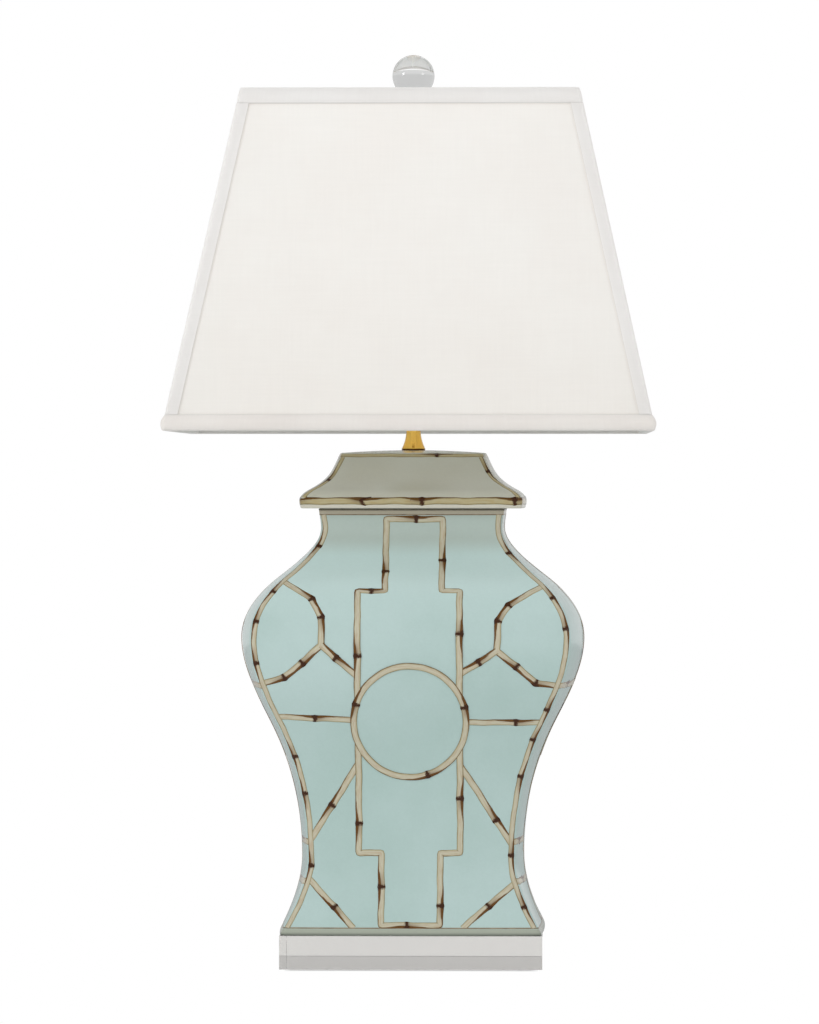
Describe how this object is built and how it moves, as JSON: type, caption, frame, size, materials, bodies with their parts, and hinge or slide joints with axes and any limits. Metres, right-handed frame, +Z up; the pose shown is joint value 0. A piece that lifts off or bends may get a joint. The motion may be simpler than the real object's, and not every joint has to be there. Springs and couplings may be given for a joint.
{
  "type": "table lamp",
  "caption": "Table lamp with a square bowed porcelain jar and pagoda lid on a clear block, a brass neck, a tapered square fabric shade and a clear ball finial.",
  "frame": {"origin": "centre of the lamp's underside, on the plane of the pads", "axes": "+Z up along the rod, front faces -Y, +X on the right of someone facing the front"},
  "size_m": [0.429, 0.429, 0.8185],
  "materials": {
    "porcelain": "glossy celadon glaze with painted canes",
    "clear_acrylic": "polished clear block",
    "clear_pad": "soft clear pad",
    "crystal": "polished clear ball",
    "neck_brass": "satin lacquered brass",
    "socket_brass": "polished brass",
    "plated_steel": "zinc plated",
    "white_wire": "white powder coat",
    "black_phenolic": "moulded",
    "fibre_liner": "pressed fibre",
    "thin_aluminium": "rolled",
    "frosted_glass": "frosted white",
    "shade_fabric": "fine off-white weave",
    "binding_fabric": "off-white bias tape",
    "bushing_plastic": "moulded"
  },
  "bodies": {
    "stand": {"base_block": "clear_acrylic", "base_pads": "clear_pad", "jar_body": "porcelain", "cord_bushing": "bushing_plastic", "jar_lid": "porcelain", "foot_washer": "plated_steel", "foot_nut": "plated_steel", "lamp_rod": "plated_steel", "brass_neck": "neck_brass", "harp_saddle": "socket_brass", "harp_wire": "socket_brass", "harp_stud": "socket_brass", "socket_cap": "socket_brass", "cap_set_screw": "plated_steel", "socket_shell": "socket_brass", "socket_liner": "fibre_liner", "socket_core": "black_phenolic", "terminal_screws": "socket_brass", "socket_screw_shell": "thin_aluminium", "socket_contact": "socket_brass"},
    "switch": {"switch_shaft": "socket_brass", "switch_knob": "black_phenolic"},
    "bulb": {"bulb_cap": "thin_aluminium", "bulb_glass": "frosted_glass"},
    "sleeve_front": {"harp_sleeve_front": "socket_brass"},
    "sleeve_back": {"harp_sleeve_back": "socket_brass"},
    "shade": {"shade_panel_front": "shade_fabric", "shade_panel_right": "shade_fabric", "shade_panel_back": "shade_fabric", "shade_panel_left": "shade_fabric", "shade_top_binding": "binding_fabric", "shade_bottom_binding": "binding_fabric", "shade_corner_bindings": "binding_fabric", "shade_top_ring": "white_wire", "shade_bottom_ring": "white_wire", "shade_ribs": "white_wire", "shade_spider": "socket_brass"},
    "finial": {"finial_base": "socket_brass", "finial_ball": "crystal"}
  },
  "joints": [
    {"name": "switch_turn", "type": "hinge", "parent": "stand", "child": "switch", "pos_m": [0.02, 0, 0.5158], "axis": [1, 0, 0], "continuous": true},
    {"name": "bulb_turn", "type": "hinge", "parent": "stand", "child": "bulb", "pos_m": [0, 0, 0.54], "axis": [0, 0, 1], "continuous": true},
    {"name": "shade_turn", "type": "hinge", "parent": "stand", "child": "shade", "pos_m": [0, 0, 0.7691], "axis": [0, 0, 1], "continuous": true},
    {"name": "finial_turn", "type": "hinge", "parent": "stand", "child": "finial", "pos_m": [0, 0, 0.776], "axis": [0, 0, 1], "continuous": true},
    {"name": "sleeve_front_lift", "type": "slide", "parent": "stand", "child": "sleeve_front", "axis": [0, 0, 1], "range_m": [0, 0.012]},
    {"name": "sleeve_back_lift", "type": "slide", "parent": "stand", "child": "sleeve_back", "axis": [0, 0, 1], "range_m": [0, 0.012]}
  ]
}
